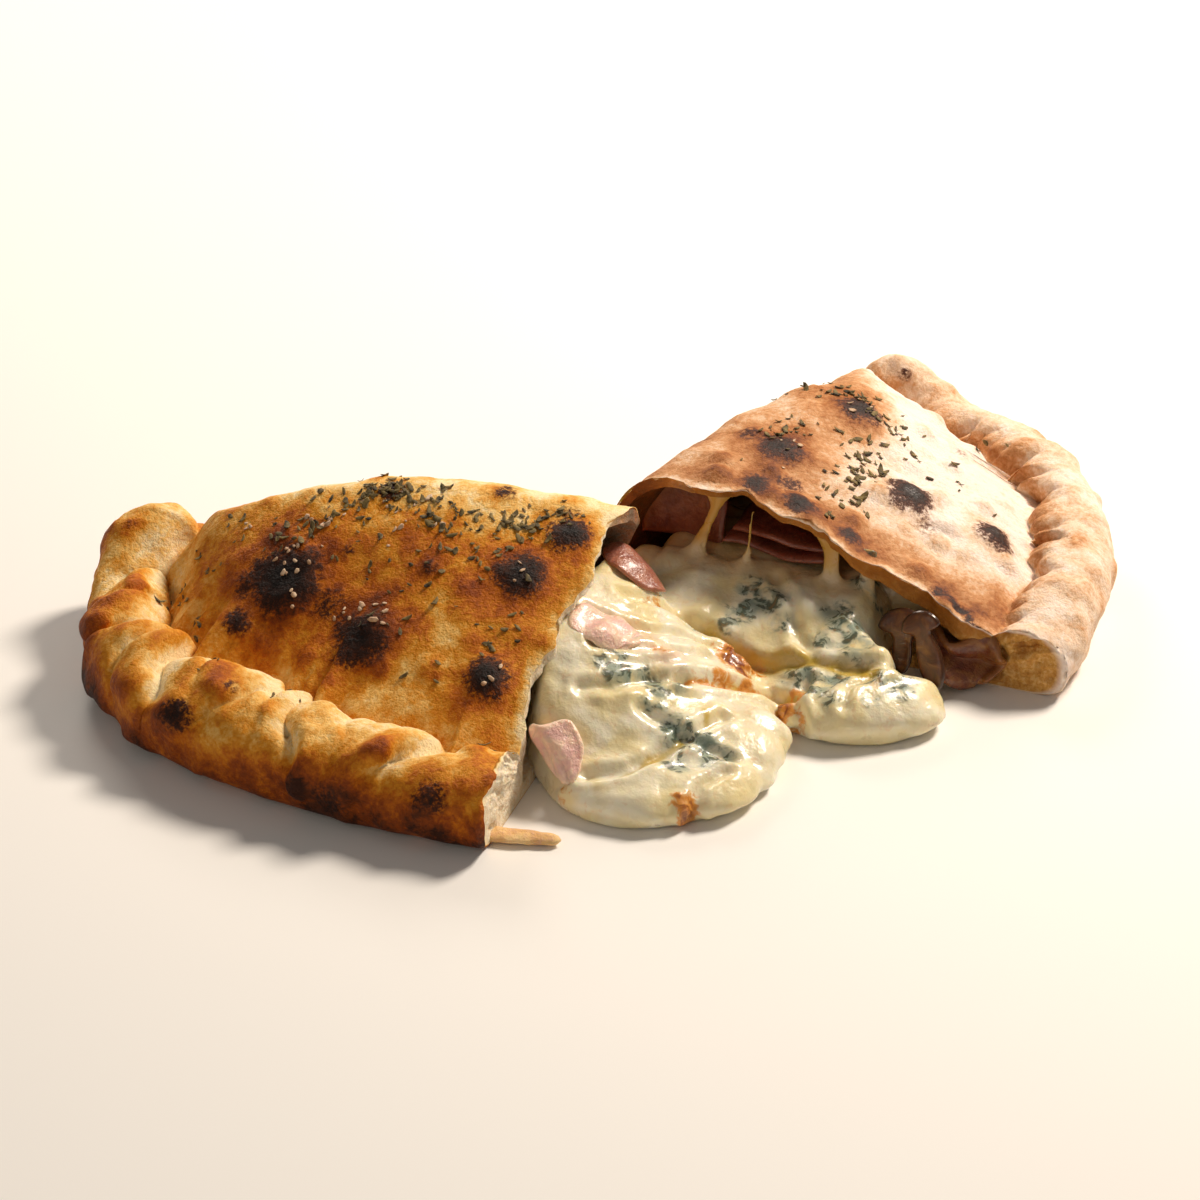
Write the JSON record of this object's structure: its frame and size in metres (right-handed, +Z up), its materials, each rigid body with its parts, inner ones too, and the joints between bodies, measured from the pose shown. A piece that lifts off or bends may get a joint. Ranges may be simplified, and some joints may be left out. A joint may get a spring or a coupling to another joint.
{
  "type": "calzone",
  "caption": "Baked folded pizza torn across its middle into two joined halves, with melted blue cheese, ham and mushrooms spilling from the gap.",
  "frame": {"origin": "centre of the bounding box's underside, on the surface the calzone lies on", "axes": "+Z up, +X from the near half towards the far half along the longest extent, -Y towards the open side where the cheese flows out"},
  "size_m": [0.3226, 0.2514, 0.0574],
  "materials": {
    "crust_left": "matt baked dough, golden brown with dark blisters",
    "crust_right": "matt baked dough, golden brown with dark blisters",
    "cheese": "glossy melted cheese with blue-green veins",
    "ham": "moist cooked ham",
    "mushroom": "moist cooked mushroom"
  },
  "bodies": {
    "root": {"crust_left": "crust_left", "crust_right": "crust_right", "cheese": "cheese", "ham_back": "ham", "ham_curled": "ham", "ham_front": "ham", "ham_lower": "ham", "ham_middle": "ham", "ham_right": "ham", "ham_upper": "ham", "mushroom_far": "mushroom", "mushroom_near": "mushroom"}
  },
  "joints": []
}
